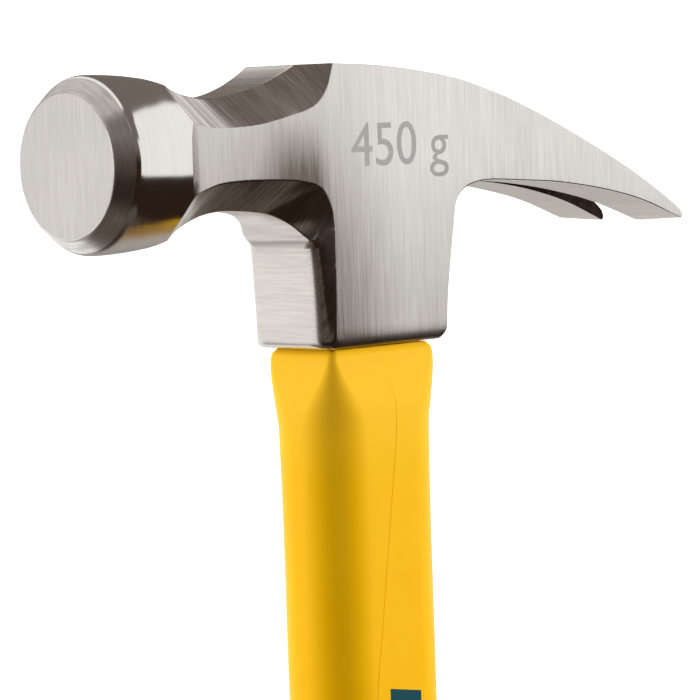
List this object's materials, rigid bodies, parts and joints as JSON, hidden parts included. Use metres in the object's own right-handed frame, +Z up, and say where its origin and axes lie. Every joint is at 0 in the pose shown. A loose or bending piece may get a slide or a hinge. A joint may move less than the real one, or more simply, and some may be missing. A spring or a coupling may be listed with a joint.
{
  "type": "claw hammer",
  "caption": "Claw hammer with a round polished poll, a straight split claw, a moulded yellow handle round a fibreglass core and a ribbed black rubber grip.",
  "frame": {"origin": "middle of the butt's flat end face", "axes": "+Z up the handle to the head, +X to the claws (the striking face looks along -X), +Y across the claws"},
  "size_m": [0.1386, 0.0312, 0.3339],
  "materials": {
    "steel": "ground and brushed forged steel, the poll's barrel polished",
    "fibreglass": "pultruded glass fibre in resin",
    "epoxy": "cast black epoxy",
    "jacket": "semi-gloss moulded yellow polypropylene",
    "grip": "matt moulded black rubber"
  },
  "bodies": {
    "root": {"hammer_head": "steel", "fibreglass_core": "fibreglass", "eye_epoxy": "epoxy", "handle_jacket": "jacket", "rubber_grip": "grip"}
  },
  "joints": []
}
